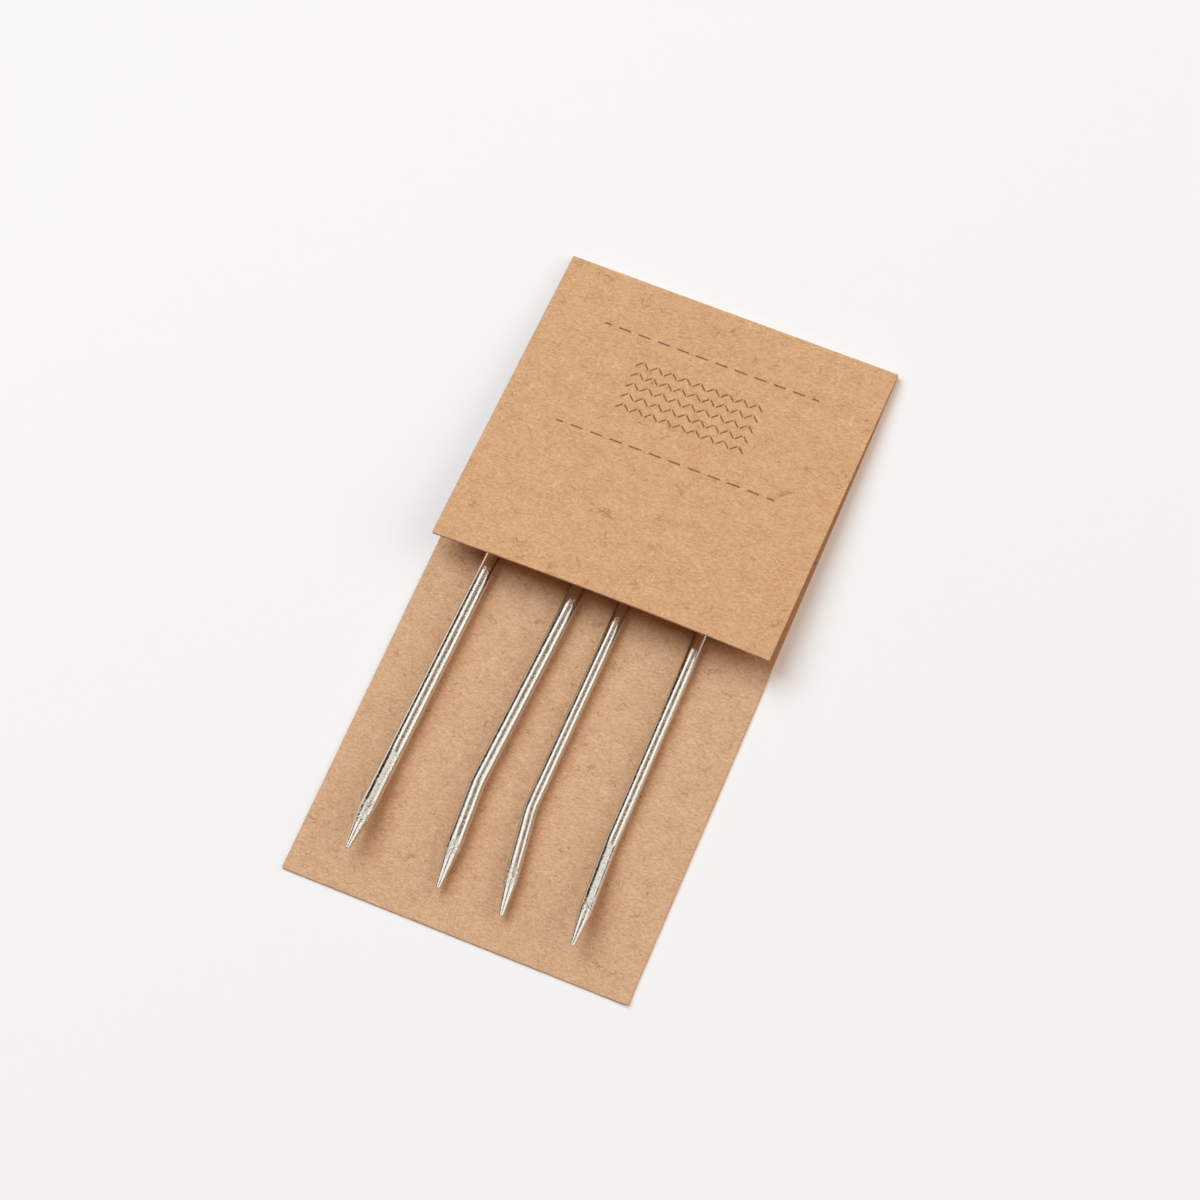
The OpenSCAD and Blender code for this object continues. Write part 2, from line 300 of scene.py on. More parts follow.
apart = add(tree, "ShaderNodeMath", {0: column, 1: LEG_MIDDLE},
            operation="SUBTRACT").outputs[0]
apart = add(tree, "ShaderNodeMath", {0: apart}, operation="ABSOLUTE").outputs[0]
apart = add(tree, "ShaderNodeMath", {0: apart, 1: LEG_REACH},
            operation="LESS_THAN").outputs[0]
aside = add(tree, "ShaderNodeMath", {0: parts["X"]}, operation="ABSOLUTE").outputs[0]
off = add(tree, "ShaderNodeMath", {0: across_swatch}, operation="ABSOLUTE").outputs[0]
inside_w = add(tree, "ShaderNodeMath", {0: aside, 1: SWATCH_HALF_W * MM},
               operation="LESS_THAN").outputs[0]
for mask in (apart, inside_w, inside_h):
    stitch = add(tree, "ShaderNodeMath", {0: stitch, 1: mask},
                 operation="MULTIPLY").outputs[0]
dash = add(tree, "ShaderNodeMath", {0: parts["X"], 1: 1 / (DASH_STEP * MM)},
           operation="MULTIPLY").outputs[0]
dash = add(tree, "ShaderNodeMath", {0: dash, 1: 0.5}, operation="PINGPONG").outputs[0]
dash = add(tree, "ShaderNodeMath", {0: dash, 1: DASH_GAP},
           operation="GREATER_THAN").outputs[0]
row = add(tree, "ShaderNodeMath", {0: off, 1: DASH_OFF * MM, 2: LINE_W / 2 * MM},
          operation="COMPARE").outputs[0]
row_end = add(tree, "ShaderNodeMath", {0: aside, 1: DASH_HALF_W * MM},
              operation="LESS_THAN").outputs[0]
dash = add(tree, "ShaderNodeMath", {0: dash, 1: row}, operation="MULTIPLY").outputs[0]
dash = add(tree, "ShaderNodeMath", {0: dash, 1: row_end}, operation="MULTIPLY").outputs[0]
ink = add(tree, "ShaderNodeMath", {0: stitch, 1: dash}, operation="MAXIMUM").outputs[0]
ink = add(tree, "ShaderNodeMath", {0: ink, 1: outer}, operation="MULTIPLY").outputs[0]
ink_share = add(tree, "ShaderNodeMapRange", {
    "Value": grain, "From Min": 0.3, "From Max": 0.6, "To Min": 0.95, "To Max": 0.72,
}).outputs["Result"]
ink = add(tree, "ShaderNodeMath", {0: ink, 1: ink_share}, operation="MULTIPLY").outputs[0]
colour = add(tree, "ShaderNodeMix", {
    0: ink, 6: colour, 7: linear("#6E4632")}, data_type="RGBA").outputs[2]

relief = add(tree, "ShaderNodeMath", {0: hair, 1: 0.35, 2: laid},
             operation="MULTIPLY_ADD").outputs[0]
bump = add(tree, "ShaderNodeBump", {
    "Height": relief, "Strength": 0.6, "Distance": 0.05 * MM})
surface = add(tree, "ShaderNodeBsdfPrincipled", {
    "Base Color": colour, "Roughness": 0.9, "Specular IOR Level": 0.25,
    "Normal": bump.outputs["Normal"]})
add(tree, "ShaderNodeOutputMaterial", {"Surface": surface.outputs[0]})

kraft_card.data.materials.append(kraft)
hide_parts("back_panel", "front_flap")
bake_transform(kraft_card)


# The needles are steel wire, cut to length, swaged to a blunt cone at one end
# and pressed flat and pierced at the other, bent near the tip, tumbled and
# nickel plated. Each lies on the card with its shaft under the paper band.

NOSE_D = 0.75
TIP_LEN = 16.3
BEND_R = 12.0
EYE_T = 1.3
EYE_RIM = 1.1
NECK_SHARE = 0.3         # of the eye's length, where the wire widens
DIE_SHARE = 0.9          # of the neck, where the die's round edge runs out
DIE_BLEND = 0.16         # the wire's round side flows into the pressed flat
GROOVE_DEPTH = 0.18
GROOVE_LEN = 2.4
GROOVE_BLEND = 0.08
NO_GROOVE = 9.0          # a height over every other, where no groove is cut
SLOT_EDGE_R = 0.16       # rounding of the slot's edge
CONE_BLEND = 0.1         # the shaft flows into the cone
RING_BACK = 0.8          # from the flat end back to the first round ring
LIE_GAP = 0.05
SIZES = {
    "larger": dict(d=2.34, length=70.0, taper=6.2, eye_w=3.2, eye_len=13.5, slot_w=1.3),
    "smaller": dict(d=2.03, length=66.0, taper=5.2, eye_w=2.8, eye_len=12.0, slot_w=1.15),
}
# Each needle's size, the place of its bend across and along the card from the
# free edge's middle, and in degrees its heading, turn at the bend and roll.
NEEDLES = {
    "outer_left_needle": ("larger", -17.75, 20.95, -1.3, 7.5, 11),
    "inner_left_needle": ("larger", -5.55, 21.1, -2.6, 6.7, 83),
    "inner_right_needle": ("smaller", 2.6, 20.6, -0.35, 9.1, 82),
    "outer_right_needle": ("smaller", 14.7, 19.85, 0.4, 8.7, 22),
}
HALF_RING = 28


def soft_min(a, b, reach):
    """The lesser of a and b, rounded off where they are within reach."""
    near = np.clip(1 - abs(a - b) / reach, 0, 1)
    return np.minimum(a, b) - near ** 2 * reach / 4


def side_width(y, n):
    """Half width of the needle at y on its flat end: the wire's radius, which
    grows to the head's along the neck by u^2 (3 - 2u)."""
    r, head_r = n["d"] / 2, n["eye_w"] / 2
    u = np.clip((y - n["shaft"]) / (NECK_SHARE * n["eye_len"]), 0, 1)
    return r + (head_r - r) * u * u * (3 - 2 * u)


def pressed_height(x, y, n):
    """Half thickness of the needle at x, y of its flat end: the round wire's
    own height, sqrt(R(y)^2 - x^2), pressed down to the die's height and into
    the thread groove."""
    r, head_r = n["d"] / 2, n["eye_w"] / 2
    start, neck = n["shaft"], NECK_SHARE * n["eye_len"]
    end = n["shaft"] + n["eye_len"]
    past = np.maximum(y - (end - head_r), 0)
    radius = np.sqrt(np.maximum(side_width(y, n) ** 2 - past ** 2, 0))
    height = np.sqrt(np.maximum(radius ** 2 - x ** 2, 0))
    run_out, depth = DIE_SHARE * neck, r - EYE_T / 2
    die_r = (run_out ** 2 + depth ** 2) / (2 * depth)
    before = np.clip(start + neck - y, 0, die_r)
    die = EYE_T / 2 + die_r - np.sqrt(die_r ** 2 - before ** 2)
    height = soft_min(height, die, DIE_BLEND)
    rise = (depth + GROOVE_DEPTH) / GROOVE_LEN
    slot_r = n["slot_w"] / 2
    hollow = slot_r - np.sqrt(np.maximum(slot_r ** 2 - np.minimum(x ** 2, slot_r ** 2), 0))
    groove = EYE_T / 2 - GROOVE_DEPTH + (n["slot_start"] - y) * rise + hollow
    in_groove = (abs(x) < slot_r) & (y < n["slot_start"] + slot_r)
    return soft_min(height, np.where(in_groove, groove, NO_GROOVE), GROOVE_BLEND)


def eye_grid(n):
    """Upper half of the flat end as a grid round the slot: each of its rows
    runs from the slot's wall, over its rounded edge and the flat, to the
    needle's outline, or in the first rows to the ring where the round shaft
    begins."""
    slot_r, head_r = n["slot_w"] / 2, n["eye_w"] / 2
    near, far, end = n["slot_start"], n["slot_end"], n["shaft"] + n["eye_len"]
    r, y0 = n["d"] / 2, n["ring_y"]
    phi = np.radians(np.linspace(-90, 90, HALF_RING + 1))
    side = np.linspace(0, 1, 26)[1:-1]
    theta = np.radians(np.linspace(90, -90, 25))
    side_y = y0 + (end - head_r - y0) * side
    side_x = side_width(side_y, n)
    outline = np.concatenate([
        np.stack([r * np.sin(phi), np.full_like(phi, y0)], 1),
        np.stack([side_x, side_y], 1),
        np.stack([head_r * np.sin(theta), end - head_r + head_r * np.cos(theta)], 1),
        np.stack([-side_x, side_y], 1)[::-1],
    ])
    slot = np.concatenate([
        np.stack([slot_r * np.sin(phi), near - slot_r * np.cos(phi)], 1),
        np.stack([np.full_like(side, slot_r), near + (far - near) * side], 1),
        np.stack([slot_r * np.sin(theta), far + slot_r * np.cos(theta)], 1),
        np.stack([np.full_like(side, -slot_r), near + (far - near) * side], 1)[::-1],
    ])
    out = outline - slot
    out /= np.linalg.norm(out, axis=1)[:, None]
    beta = np.radians([0, 18, 36, 54, 72])
    steps = np.sin(np.linspace(0, 1, 22) * math.pi / 2)
    flat = slot + out * SLOT_EDGE_R
    plan = np.concatenate([
        np.repeat(slot[:, None], 2, 1),
        slot[:, None] + out[:, None] * (SLOT_EDGE_R * (1 - np.cos(beta)))[None, :, None],
        flat[:, None] + (outline - flat)[:, None] * steps[None, :, None],
    ], axis=1)
    height = pressed_height(plan[..., 0], plan[..., 1], n)
    height[:, 2:2 + len(beta)] -= SLOT_EDGE_R * (1 - np.sin(beta))
    height[:, 0] = 0
    height[:, 1] = height[:, 2] * 0.5
    height[len(phi):, -1] = 0
    height[:len(phi), -1] = r * np.cos(phi)
    return np.dstack([plan, height])


def bend_slack(turn):
    """What the bend's arc saves on each side of its corner: R tan(turn / 2),
    the tangent's length, less R turn / 2, half of the arc's."""
    return BEND_R * math.tan(turn / 2) - BEND_R * turn / 2


def wire_grid(n):
    """Round part of the needle as rings, in straightened coordinates: across,
    distance along the wire from the bend, up. The radius is the wire's, then a
    cone's, then a round nose's."""
    r, nose_r = n["d"] / 2, NOSE_D / 2
    slack = bend_slack(n["turn"])
    tip = TIP_LEN - slack
    slant = math.atan((r - nose_r) / n["taper"])
    shaft = np.linspace(n["ring_y"] - slack, 1.4, 34)
    bend = np.linspace(1.2, -1.2, 25)
    straight = np.linspace(-1.4, -(tip - n["taper"]) + 0.9, 12)
    cone = np.linspace(-(tip - n["taper"]) + 0.8, -(tip - nose_r), 40)
    nose = np.radians(np.linspace(math.degrees(slant), 90, 12))[1:]
    along = np.concatenate([shaft, bend, straight, cone])
    to_tip = tip + along
    cone_r = nose_r * math.cos(slant) + (to_tip - nose_r + nose_r * math.sin(slant)) \
        * math.tan(slant)
    radius = soft_min(np.full_like(along, r), cone_r, CONE_BLEND)
    along = np.append(along, -(tip - nose_r + nose_r * np.sin(nose)))
    radius = np.append(radius, nose_r * np.cos(nose))
    radius[-1] = 0.0
    phi = np.radians(np.linspace(-90, 270, 2 * HALF_RING + 1))[:-1]
    return np.dstack([
        np.sin(phi)[None] * radius[:, None],
        np.repeat(along[:, None], len(phi), 1),
        np.cos(phi)[None] * radius[:, None],
    ])


def bend_wire(p, n):
    """Carries straightened points onto the bent wire. Past the bend the cross
    section turns with the arc in the plane that roll leans over, and the whole
    needle turns by its heading and moves to its place."""
    x, w, z = p[..., 0], p[..., 1], p[..., 2]
    turn, roll, heading = n["turn"], n["roll"], n["heading"]
    reach = BEND_R * turn / 2
    q = np.clip((reach - w) / BEND_R, 0, turn)
    a = x * math.cos(roll) - z * math.sin(roll)
    b = x * math.sin(roll) + z * math.cos(roll)
    beyond = np.maximum(-reach - w, 0)
    before = np.maximum(w - reach, 0)
    tangent = BEND_R * math.tan(turn / 2)
    y = tangent - BEND_R * np.sin(q) - beyond * np.cos(q) + before + b * np.sin(q)
    up = BEND_R * (1 - np.cos(q)) + beyond * np.sin(q) + b * np.cos(q)
    x1 = a * math.cos(roll) + up * math.sin(roll)
    z1 = -a * math.sin(roll) + up * math.cos(roll)
    x2 = x1 * math.cos(heading) - y * math.sin(heading)
    y2 = x1 * math.sin(heading) + y * math.cos(heading)
    return np.stack([
        x2 + n["x"],
        y2 + n["y"] - PANEL_LEN / 2,
        z1 + BOARD_T + LIE_GAP + n["d"] / 2,
    ], -1)


def quads(index, closed):
    """Faces of a grid of vertex numbers, joined up along its first way if it
    is closed."""
    nxt = np.roll(index, -1, 0) if closed else index[1:]
    now = index if closed else index[:-1]
    return np.stack([now[:, :-1], nxt[:, :-1], nxt[:, 1:], now[:, 1:]], -1).reshape(-1, 4)


# Bright nickel plate on tumbled steel: a slightly warm white metal. Drawing
# leaves faint lines along the wire, tumbling small pits, and swaging dents where
# the cone begins. They break up the edges of what the metal mirrors.

CONE_AT = 10.5           # from the bend to where the cones begin, about
PATTERN_SHIFT = 31.0     # gives each needle other pits, by its place across
nickel, tree = new_material("nickel_plated_steel")
wire = add(tree, "ShaderNodeAttribute", {}, attribute_name="wire").outputs["Vector"]
drawn = add(tree, "ShaderNodeMapping", {       # lines 0.16 mm apart and 4 mm long
    "Vector": wire, "Scale": (1 / (0.16 * MM), 1 / (4.0 * MM), 1 / (0.16 * MM))})
lines = add(tree, "ShaderNodeTexNoise", {
    "Vector": drawn.outputs[0], "Scale": 1.0, "Detail": 3.0}).outputs["Fac"]
pits = add(tree, "ShaderNodeTexNoise", {       # pits 0.3 mm across
    "Vector": wire, "Scale": 1 / (0.3 * MM), "Detail": 2.0, "Roughness": 0.6}).outputs["Fac"]
pits = add(tree, "ShaderNodeMapRange", {
    "Value": pits, "From Min": 0.36, "From Max": 0.5}).outputs["Result"]
dents = add(tree, "ShaderNodeTexNoise", {      # hammer marks 0.7 mm long
    "Vector": wire, "Scale": 1 / (0.7 * MM), "Detail": 2.0}).outputs["Fac"]
place = add(tree, "ShaderNodeSeparateXYZ", {"Vector": wire}).outputs["Y"]
step = add(tree, "ShaderNodeMath", {0: place, 1: CONE_AT * MM}, operation="ADD").outputs[0]
step = add(tree, "ShaderNodeMath", {0: step}, operation="ABSOLUTE").outputs[0]
step = add(tree, "ShaderNodeMapRange", {          # where the cone begins
    "Value": step, "From Min": 0.4 * MM, "From Max": 1.9 * MM, "To Min": 1.0,
    "To Max": 0.08}).outputs["Result"]
line_bump = add(tree, "ShaderNodeBump", {
    "Height": lines, "Strength": 1.0, "Distance": 0.002 * MM})
pit_depth = add(tree, "ShaderNodeMapRange", {
    "Value": step, "From Min": 0.08, "From Max": 1.0, "To Min": 0.2,
    "To Max": 0.9}).outputs["Result"]
pit_bump = add(tree, "ShaderNodeBump", {
    "Height": pits, "Strength": pit_depth, "Distance": 0.045 * MM,
    "Normal": line_bump.outputs["Normal"]})
dent_bump = add(tree, "ShaderNodeBump", {
    "Height": dents, "Strength": step, "Distance": 0.12 * MM,
    "Normal": pit_bump.outputs["Normal"]})
rough = add(tree, "ShaderNodeMapRange", {
    "Value": lines, "From Min": 0.3, "From Max": 0.7, "To Min": 0.05, "To Max": 0.12,
}).outputs["Result"]
surface = add(tree, "ShaderNodeBsdfPrincipled", {
    "Base Color": linear("#E4DDD2"), "Metallic": 1.0, "Roughness": rough,
    "Normal": dent_bump.outputs["Normal"]})
add(tree, "ShaderNodeOutputMaterial", {"Surface": surface.outputs[0]})

for name, (size, x_at, y_at, heading, turn, roll) in NEEDLES.items():
    n = dict(SIZES[size], x=x_at, y=y_at, heading=math.radians(heading),
             turn=math.radians(turn), roll=math.radians(roll))
    n["shaft"] = n["length"] - TIP_LEN - n["eye_len"]
    n["slot_start"] = n["shaft"] + NECK_SHARE * n["eye_len"] + n["slot_w"] / 2
    n["slot_end"] = n["shaft"] + n["eye_len"] - EYE_RIM - n["slot_w"] / 2
    n["ring_y"] = n["shaft"] - RING_BACK

    upper = eye_grid(n)
    upper[..., 1] -= bend_slack(n["turn"])
    lower = upper * (1, 1, -1)
    rings = wire_grid(n)
    points = np.concatenate([
        upper.reshape(-1, 3), lower.reshape(-1, 3), rings.reshape(-1, 3)])
    top = np.arange(upper[..., 0].size).reshape(upper.shape[:2])
    ring = 2 * top.size + np.arange(rings[..., 0].size).reshape(rings.shape[:2])
    faces = np.concatenate([
        quads(top, True)[:, ::-1],
        quads(top, True) + top.size,
        quads(ring.T, True)[:, ::-1],
    ])
    mesh = bpy.data.meshes.new(name + "_wire")
    mesh.from_pydata((bend_wire(points, n) * MM).tolist(), [], faces.tolist())
    straightened = mesh.attributes.new("wire", "FLOAT_VECTOR", "POINT")
    shifted = (points + (PATTERN_SHIFT * x_at, 0, 0)) * MM
    straightened.data.foreach_set("vector", shifted.astype(np.float32).ravel())
    welded = bmesh.new()
    welded.from_mesh(mesh)
    bmesh.ops.remove_doubles(welded, verts=welded.verts, dist=0.002 * MM)
    bmesh.ops.recalc_face_normals(welded, faces=welded.faces)
    welded.to_mesh(mesh)
    welded.free()
    mesh.polygons.foreach_set("use_smooth", np.ones(len(mesh.polygons), bool))
    mesh.materials.append(nickel)
    piece = bpy.data.objects.new("plated_" + name, mesh)
    bpy.context.scene.collection.objects.link(piece)
    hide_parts(name)
    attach(piece, name)


# The band is a strip of thin kraft paper, glued to the card between the
# needles. It stands over each shaft as a low tunnel, wide enough for the eye.

BAND_Y = 53.9
BAND_W = 4.5
BAND_T = 0.25
BAND_MARGIN = 2.6
BAND_SLOPE = math.radians(66)
BAND_FOOT_R = 0.35
BAND_GAP = 0.12          # between the shaft and its tunnel
PASS_GAP = 0.18          # between a passing eye and the tunnel's slopes
MIN_CROWN = 0.2
BAND_MID = BAND_Y + BAND_W / 2
BAND_SHIFT = 200.0       # the band's pattern starts far from the card's


def tunnel(n):
    """Middle line of the band over one needle, in a plane across the shaft:
    a flat crown, an arc about each shoulder, a straight slope and an arc into
    the foot. Gives across, height and the outward direction at each point."""
    foot_r = BAND_FOOT_R + BAND_T
    over = n["d"] / 2 + BAND_GAP
    axis = BOARD_T + LIE_GAP + n["d"] / 2
    sin_s, cos_s = math.sin(BAND_SLOPE), math.cos(BAND_SLOPE)
    crown = max(MIN_CROWN, n["eye_w"] / 2 + (EYE_T / 2 * cos_s + PASS_GAP - over) / sin_s)
    slope = (axis + over * cos_s - BOARD_T - foot_r * (1 - cos_s)) / sin_s
    foot = crown + (over + foot_r) * sin_s + slope * cos_s
    arc = math.pi / 2 - BAND_SLOPE * np.linspace(0, 1, 15)
    heel = 1.5 * math.pi - BAND_SLOPE * np.linspace(1, 0, 12)
    shoulder_r, heel_r = over + BAND_T / 2, foot_r - BAND_T / 2
    slope_at = np.linspace(0, 1, 7)[1:-1] * slope
    x = np.concatenate([
        [crown * 0.33, crown * 0.67],
        crown + shoulder_r * np.cos(arc),
        crown + shoulder_r * sin_s + slope_at * cos_s,
        foot + heel_r * np.cos(heel),
    ])
    z = np.concatenate([
        [axis + shoulder_r] * 2,
        axis + shoulder_r * np.sin(arc),
        axis + shoulder_r * cos_s - slope_at * sin_s,
        BOARD_T + foot_r + heel_r * np.sin(heel),
    ])
    out_x = np.concatenate([[0, 0], np.cos(arc), [sin_s] * 5, -np.cos(heel)])
    out_z = np.concatenate([[1, 1], np.sin(arc), [cos_s] * 5, -np.sin(heel)])
    return (np.concatenate([-x[::-1], x]), np.concatenate([z[::-1], z]),
            np.concatenate([-out_x[::-1], out_x]), np.concatenate([out_z[::-1], out_z]))


# Stations along the band: x on its middle line, how much x moves for each
# millimetre along the card, height and outward direction.
band_end = CARD_W / 2 - BAND_MARGIN
end_rows = np.append(np.array([0, 0.25, 0.6, 1]) * BLADE_R, [0.14, 0.3, 0.7])
flat_end = np.tile([0.0, 0.0, BOARD_T + BAND_T / 2, 0.0, 1.0], (len(end_rows), 1))
stations = [flat_end + np.outer(end_rows - band_end, (1, 0, 0, 0, 0))]
for size, x_at, y_at, heading, _, _ in NEEDLES.values():
    heading = math.radians(heading)
    lean = math.tan(heading)
    x, z, out_x, out_z = tunnel(SIZES[size])
    crossing = x_at - (BAND_MID - y_at) * lean
    stations.append(np.stack([
        crossing + x / math.cos(heading), np.full_like(x, -lean), z, out_x, out_z], 1))
stations.append(flat_end + np.outer(band_end - end_rows[::-1], (1, 0, 0, 0, 0)))
path_x, lean, z, out_x, out_z = np.concatenate(stations).T
along = np.concatenate([[0], np.cumsum(np.hypot(np.diff(path_x), np.diff(z)))])
y_rows = with_cut_ends(BAND_Y, BAND_Y + BAND_W, 6)[::-1]
y, column = np.meshgrid(y_rows, np.arange(len(path_x)), indexing="ij")
from_edge = np.minimum(np.minimum(y - BAND_Y, BAND_Y + BAND_W - y),
                       np.minimum(along, along[-1] - along)[column])
middle = np.dstack([path_x[column] + (y - BAND_MID) * lean[column],
                    y - PANEL_LEN / 2, z[column]])
normal = np.dstack([out_x[column], np.zeros_like(y), out_z[column]])
band = board_mesh("paper_band", middle, normal, BAND_T, from_edge,
                  np.dstack([along[column] + BAND_SHIFT, y]))

# Thin ribbed kraft paper: the same pulp, calendered smoother and darker, with
# ribs across the strip, raised in the bump. The light and shade they catch is painted into the
# colour as well.

ribbed, tree = new_material("ribbed_kraft_paper")
sheet = add(tree, "ShaderNodeAttribute", {}, attribute_name="sheet").outputs["Vector"]
ribs = add(tree, "ShaderNodeTexWave", {           # ribs 0.8 mm apart
    "Vector": sheet, "Scale": math.tau / (20 * 0.8 * MM), "Distortion": 0.6,
    "Detail": 1.0, "Detail Scale": 0.5}).outputs["Fac"]
grain = add(tree, "ShaderNodeTexNoise", {         # bundles of fibres 0.35 mm wide
    "Vector": sheet, "Scale": 1 / (0.35 * MM), "Detail": 3.0, "Roughness": 0.7}).outputs["Fac"]
tone = add(tree, "ShaderNodeMapRange", {
    "Value": grain, "From Min": 0.25, "From Max": 0.75, "To Min": 0.75, "To Max": 1.25,
}).outputs["Result"]
# Painted light and shade: the colour turns darker and lighter along the ribs.
painted_rib_shade = add(tree, "ShaderNodeMapRange", {
    "Value": ribs, "To Min": 0.92, "To Max": 1.04}).outputs["Result"]
tone = add(tree, "ShaderNodeMath", {0: tone, 1: painted_rib_shade}, operation="MULTIPLY").outputs[0]
colour = add(tree, "ShaderNodeMix", {
    0: 1.0, 6: linear("#C08F63"), 7: tone}, data_type="RGBA", blend_type="MULTIPLY").outputs[2]
relief = add(tree, "ShaderNodeMath", {0: grain, 1: 0.4, 2: ribs},
             operation="MULTIPLY_ADD").outputs[0]
bump = add(tree, "ShaderNodeBump", {
    "Height": relief, "Strength": 0.6, "Distance": 0.04 * MM})
surface = add(tree, "ShaderNodeBsdfPrincipled", {
    "Base Color": colour, "Roughness": 0.7, "Specular IOR Level": 0.4,
    "Normal": bump.outputs["Normal"]})
add(tree, "ShaderNodeOutputMaterial", {"Surface": surface.outputs[0]})

band.data.materials.append(ribbed)
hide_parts("needle_band")
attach(band, "card")


# The photograph is taken on white paper, between a large softbox at the left
# and a weaker one at the right. The bright wire doesn't mirror the lamps: it
# shows white screens and a dim ceiling overhead, and dark walls around.

def seen_ray(tree):
    """1 on a ray from the camera or one that a metal or a glass sends on."""
    path = add(tree, "ShaderNodeLightPath", {}).outputs
    seen = path["Is Camera Ray"]
    for kind in ("Is Glossy Ray", "Is Transmission Ray"):
        seen = add(tree, "ShaderNodeMath", {0: seen, 1: path[kind]},
                   operation="MAXIMUM").outputs[0]
    return seen


# Plain matt paper. A tenth of what is seen of it is light of its own, which
# evens out the lamps' fall over the background.

paper, tree = new_material("white_paper")
surface = add(tree, "ShaderNodeBsdfPrincipled", {
    "Base Color": linear("#F3F2F1"), "Roughness": 0.9, "Specular IOR Level": 0.1})
bright = add(tree, "ShaderNodeEmission", {"Color": linear("#F4F3F1"), "Strength": 1.0})
share = add(tree, "ShaderNodeMath", {0: seen_ray(tree), 1: 0.1},
            operation="MULTIPLY").outputs[0]
lit = add(tree, "ShaderNodeMixShader", {0: share, 1: surface.outputs[0],
                                        2: bright.outputs[0]})
add(tree, "ShaderNodeOutputMaterial", {"Surface": lit.outputs[0]})


def stage_panel(name, corners, material, seen=False):
    """A flat panel of the studio, which the camera sees only if seen is set."""
    mesh = bpy.data.meshes.new(name)
    mesh.from_pydata(corners, [], [tuple(range(len(corners)))])
    mesh.materials.append(material)
    panel = bpy.data.objects.new(name, mesh)
    bpy.context.scene.collection.objects.link(panel)
    panel.visible_camera = seen
    return panel


def glow(name, code, strength=1.0):
    """A surface that only gives light, of one colour and strength."""
    material, tree = new_material(name)
    light = add(tree, "ShaderNodeEmission", {"Color": linear(code), "Strength": strength})
    add(tree, "ShaderNodeOutputMaterial", {"Surface": light.outputs[0]})
    return material


FLOOR_R, FLOOR_Z = 2.0, -1e-5
FLOOR_STEP = 10          # degrees between the corners of its round edge
around = np.radians(np.arange(0, 360, FLOOR_STEP))
rim = np.stack([FLOOR_R * np.cos(around), FLOOR_R * np.sin(around),
                np.full_like(around, FLOOR_Z)], 1)
stage_panel("floor", rim.tolist(), paper, seen=True)

SCREEN_R = 2.0


def overhead(name, first, last, front, back, material):
    """A flat panel over the object, between two angles from upright, positive
    to the right, of a circle of SCREEN_R about the y axis, and between front
    and back along that axis. It shows in the wire and lights nothing."""
    edges = [(SCREEN_R * math.sin(math.radians(a)), SCREEN_R * math.cos(math.radians(a)))
             for a in (first, last)]
    corners = [(x, front, z) for x, z in edges] + [(x, back, z) for x, z in edges[::-1]]
    panel = stage_panel(name, corners, material)
    panel.visible_diffuse = False
    panel.visible_shadow = False


dark_room, dark_corner = glow("dark_room", "#5F432E"), glow("dark_corner", "#372B23")
lit_screen = glow("lit_screen", "#FFFFFF", 1.5)
near_screen = glow("lit_near_screen", "#FFFFFF", 1.2)
NEAR, SPLIT = -1.0, 0.55     # the screens' front edge, and the line that parts the two rows
overhead("left_screen", -41, -15, SPLIT, 1.05, lit_screen)
overhead("left_spill", -15, 1, SPLIT, 1.1, glow("screen_spill", "#D3CCC3"))
overhead("ceiling", 1, 43, SPLIT, 1.1, glow("dim_ceiling", "#8A796A"))
overhead("right_screen", 43, 82, SPLIT, 1.1, glow("lit_side_screen", "#FFFFFF", 1.3))
overhead("near_left_screen", -55, 1, NEAR, SPLIT, near_screen)
overhead("near_ceiling", 1, 20, NEAR, SPLIT, dark_room)
overhead("near_right_screen", 20, 80, NEAR, SPLIT, near_screen)

# A dark panel in front keeps that side's light off the card.
dark_front = stage_panel("dark_front", [
    (-2.6, -2.0, 0), (2.6, -2.0, 0), (2.6, -1.5, 2.6), (-2.6, -1.5, 2.6)], dark_room)
dark_front.visible_glossy = False

# Twelve walls in a ring. The left ones stand off the floor, higher and darker.
WALL_R = 3.4
WALL_STEP = 30
LEFT_OF = -0.45          # the sine of a wall's turn, under which it is a left one
for number, turn in enumerate(np.radians(np.arange(0, 360, WALL_STEP))):
    half = math.radians(WALL_STEP / 2)
    left = math.sin(turn) < LEFT_OF
    foot, top = (0.5, 3.4) if left else (0.0, 1.3)
    low = [(WALL_R * math.sin(a), WALL_R * math.cos(a), foot)
           for a in (turn - half, turn + half)]
    high = [(x, y, top) for x, y, _ in low[::-1]]
    stage_panel(f"dark_wall_{number}", low + high, dark_corner if left else dark_room)


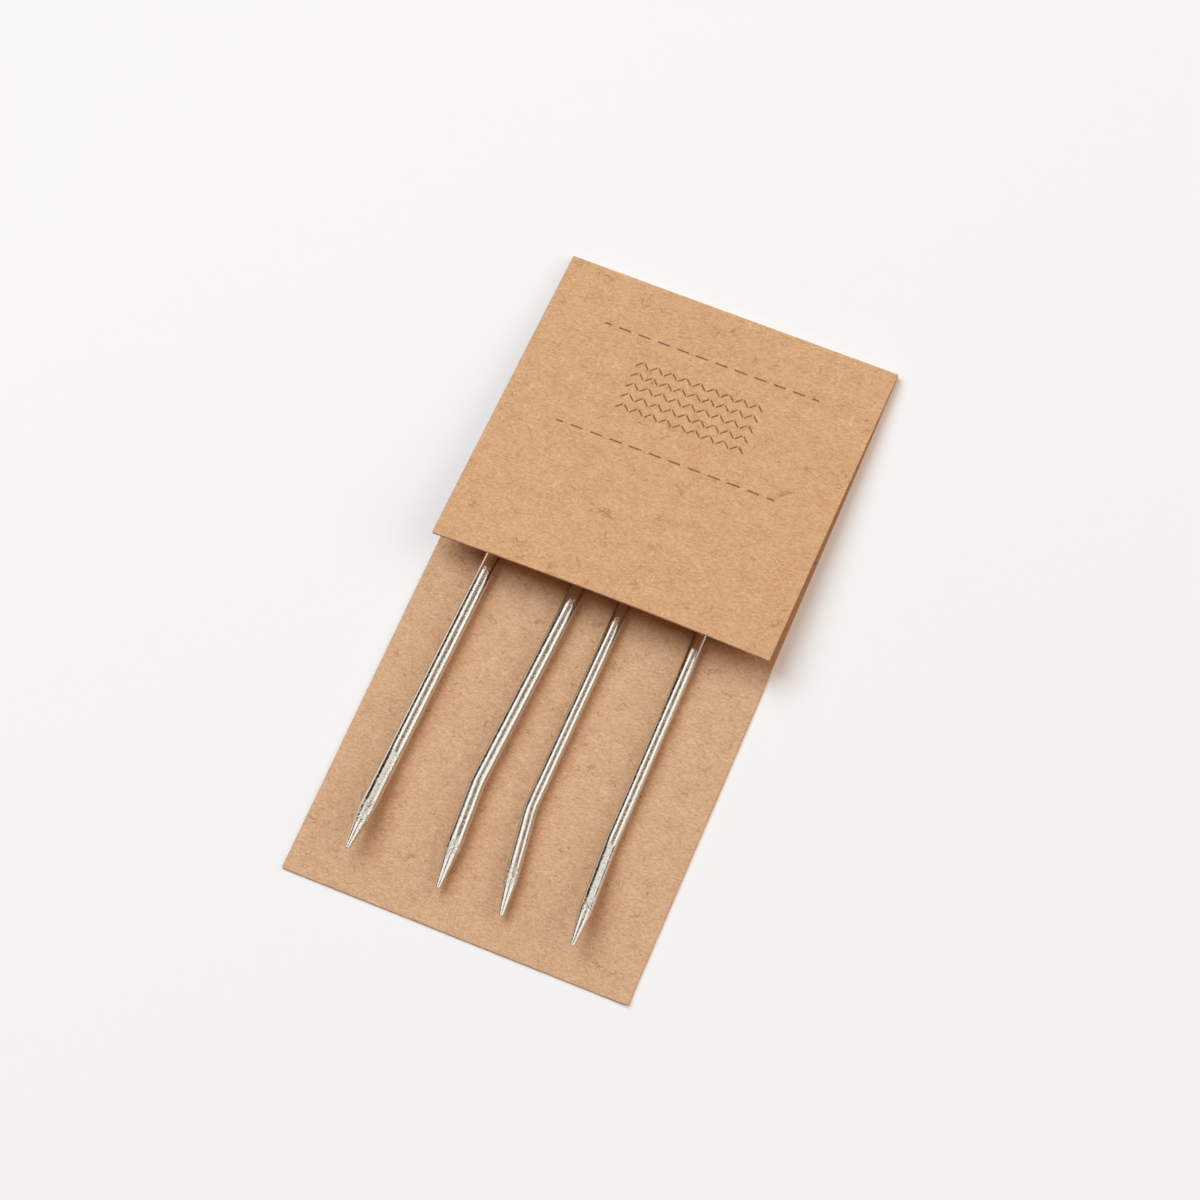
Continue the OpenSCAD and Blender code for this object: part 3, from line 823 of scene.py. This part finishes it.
def softbox(name, place, width, height, radiance, code):
    """A rectangular softbox at place that faces the object. Its power is
    radiance times its area times pi, the light of a plain matt surface."""
    lamp = bpy.data.lights.new(name, "AREA")
    lamp.shape = "RECTANGLE"
    lamp.size, lamp.size_y = width, height
    lamp.energy = radiance * width * height * math.pi
    lamp.color = linear(code)[:3]
    box = bpy.data.objects.new(name, lamp)
    box.location = place
    box.rotation_euler = (-Vector(place)).to_track_quat("-Z", "Y").to_euler()
    box.visible_glossy = False       # the screens show in the wire in its place
    bpy.context.scene.collection.objects.link(box)


LAMP_COLOUR = "#D8F1FF"
softbox("left_softbox", (-1.12, 0.38, 1.67), 1.6, 1.65, 5.15, LAMP_COLOUR)
softbox("right_softbox", (1.6, 0.38, 1.15), 1.6, 1.3, 1.85, LAMP_COLOUR)

# The room's own light is a warm one. Seen directly or mirrored it is white.
ROOM_LIGHT = (0.69, 0.43, 0.26)
world = bpy.data.worlds.new("studio")
world.use_nodes = True
world.node_tree.nodes.clear()
bpy.context.scene.world = world
tree = world.node_tree
fill = add(tree, "ShaderNodeMix", {
    0: seen_ray(tree), 6: (*ROOM_LIGHT, 1.0), 7: (1.0, 1.0, 1.0, 1.0)},
    data_type="RGBA").outputs[2]
back = add(tree, "ShaderNodeBackground", {"Color": fill, "Strength": 1.0})
add(tree, "ShaderNodeOutputWorld", {"Surface": back.outputs[0]})

# The camera was fitted to the card's four corners in the photograph.
CAMERA_AT = (0.075898, -0.188206, 0.459096)
camera = bpy.data.cameras.new("camera")
camera.sensor_width = 36.0
camera.lens = 107.4
viewer = bpy.data.objects.new("camera", camera)
right = Vector((0.92337, 0.38387, 0.00486))
ahead = Vector((-0.15259, 0.37861, -0.91289))
up = right.cross(ahead)
turned = Matrix((right, up, -ahead)).transposed().to_4x4()
viewer.matrix_world = Matrix.Translation(CAMERA_AT) @ turned
bpy.context.scene.collection.objects.link(viewer)
bpy.context.scene.camera = viewer
bpy.context.scene.view_settings.view_transform = "Standard"
